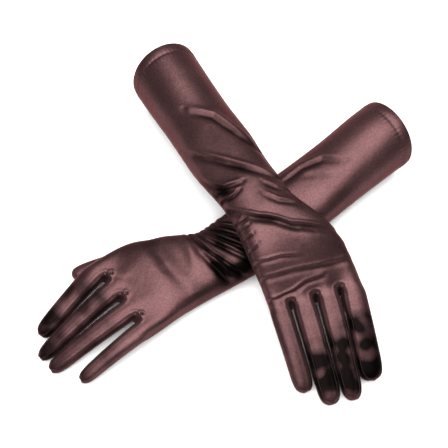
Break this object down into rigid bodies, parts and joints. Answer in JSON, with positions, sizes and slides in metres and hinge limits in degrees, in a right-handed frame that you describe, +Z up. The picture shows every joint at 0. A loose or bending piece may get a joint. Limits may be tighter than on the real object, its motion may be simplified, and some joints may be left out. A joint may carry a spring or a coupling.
{
  "type": "opera gloves",
  "caption": "Elbow-length satin gloves for a left and a right hand, laid palm down and crossed, with hemmed cuffs, fourchettes and bending wrists and fingers.",
  "frame": {"origin": "centre of the pair's footprint, on the surface that it lies on", "axes": "+Z up from the surface; +X to the right and +Y away from someone who looks at the backs of the hands"},
  "size_m": [0.3505, 0.351, 0.0773],
  "materials": {
    "satin": "fine satin weave with a soft broad sheen, mauve brown",
    "lining": "dull reverse of the satin, folded inside the cuff",
    "thread": "fine matching sewing thread"
  },
  "bodies": {
    "left_sleeve": {"left_sleeve_back": "satin", "left_sleeve_front": "satin", "left_cuff_hem": "lining", "left_hem_stitching": "thread"},
    "left_hand": {"left_hand_back": "satin", "left_hand_palm": "satin"},
    "left_thumb": {"left_thumb": "satin"},
    "left_little_finger": {"left_little_back": "satin", "left_little_fourchette_inner": "satin", "left_little_palm": "satin"},
    "left_ring_finger": {"left_ring_back": "satin", "left_ring_fourchette_inner": "satin", "left_ring_fourchette_outer": "satin", "left_ring_palm": "satin"},
    "left_middle_finger": {"left_middle_back": "satin", "left_middle_fourchette_inner": "satin", "left_middle_fourchette_outer": "satin", "left_middle_palm": "satin"},
    "left_index_finger": {"left_index_back": "satin", "left_index_fourchette_outer": "satin", "left_index_palm": "satin"},
    "right_sleeve": {"right_sleeve_back": "satin", "right_sleeve_front": "satin", "right_cuff_hem": "lining", "right_hem_stitching": "thread"},
    "right_hand": {"right_hand_back": "satin", "right_hand_palm": "satin"},
    "right_thumb": {"right_thumb": "satin"},
    "right_little_finger": {"right_little_back": "satin", "right_little_fourchette_inner": "satin", "right_little_palm": "satin"},
    "right_ring_finger": {"right_ring_back": "satin", "right_ring_fourchette_inner": "satin", "right_ring_fourchette_outer": "satin", "right_ring_palm": "satin"},
    "right_middle_finger": {"right_middle_back": "satin", "right_middle_fourchette_inner": "satin", "right_middle_fourchette_outer": "satin", "right_middle_palm": "satin"},
    "right_index_finger": {"right_index_back": "satin", "right_index_fourchette_outer": "satin", "right_index_palm": "satin"}
  },
  "joints": [
    {"name": "right_glove_lift", "type": "slide", "parent": "left_sleeve", "child": "right_sleeve", "axis": [0, 0, 1], "range_m": [0, 0.15]},
    {"name": "left_wrist", "type": "hinge", "parent": "left_sleeve", "child": "left_hand", "pos_m": [-0.01722, -0.04285, 0.0385], "axis": [-0.4695, 0.8829, 0], "range_deg": [0, 60]},
    {"name": "left_little_knuckle", "type": "hinge", "parent": "left_hand", "child": "left_little_finger", "pos_m": [-0.07647, -0.10988, 0.0328], "axis": [-0.6018, 0.7986, 0], "range_deg": [0, 40]},
    {"name": "left_ring_knuckle", "type": "hinge", "parent": "left_hand", "child": "left_ring_finger", "pos_m": [-0.09046, -0.09132, 0.0328], "axis": [-0.6018, 0.7986, 0], "range_deg": [0, 40]},
    {"name": "left_middle_knuckle", "type": "hinge", "parent": "left_hand", "child": "left_middle_finger", "pos_m": [-0.10521, -0.07175, 0.0328], "axis": [-0.6018, 0.7986, 0], "range_deg": [0, 40]},
    {"name": "left_index_knuckle", "type": "hinge", "parent": "left_hand", "child": "left_index_finger", "pos_m": [-0.1198, -0.05238, 0.0328], "axis": [-0.6018, 0.7986, 0], "range_deg": [0, 40]},
    {"name": "left_thumb_swing", "type": "hinge", "parent": "left_hand", "child": "left_thumb", "pos_m": [-0.06408, -0.0146, 0.013], "axis": [0, 0, -1], "range_deg": [0, 35]},
    {"name": "right_wrist", "type": "hinge", "parent": "right_sleeve", "child": "right_hand", "pos_m": [0.03134, -0.0055, 0.0768], "axis": [-0.848, -0.5299, 0], "range_deg": [0, 60]},
    {"name": "right_little_knuckle", "type": "hinge", "parent": "right_hand", "child": "right_little_finger", "pos_m": [0.04673, -0.09096, 0.0368], "axis": [-0.9563, -0.2924, 0], "range_deg": [0, 40]},
    {"name": "right_ring_knuckle", "type": "hinge", "parent": "right_hand", "child": "right_ring_finger", "pos_m": [0.06801, -0.08446, 0.0368], "axis": [-0.9563, -0.2924, 0], "range_deg": [0, 40]},
    {"name": "right_middle_knuckle", "type": "hinge", "parent": "right_hand", "child": "right_middle_finger", "pos_m": [0.09049, -0.07759, 0.0368], "axis": [-0.9563, -0.2924, 0], "range_deg": [0, 40]},
    {"name": "right_index_knuckle", "type": "hinge", "parent": "right_hand", "child": "right_index_finger", "pos_m": [0.11272, -0.07079, 0.0368], "axis": [-0.9563, -0.2924, 0], "range_deg": [0, 40]},
    {"name": "right_thumb_swing", "type": "hinge", "parent": "right_hand", "child": "right_thumb", "pos_m": [0.10277, -0.02634, 0.024], "axis": [0, 0, 1], "range_deg": [0, 35]}
  ]
}
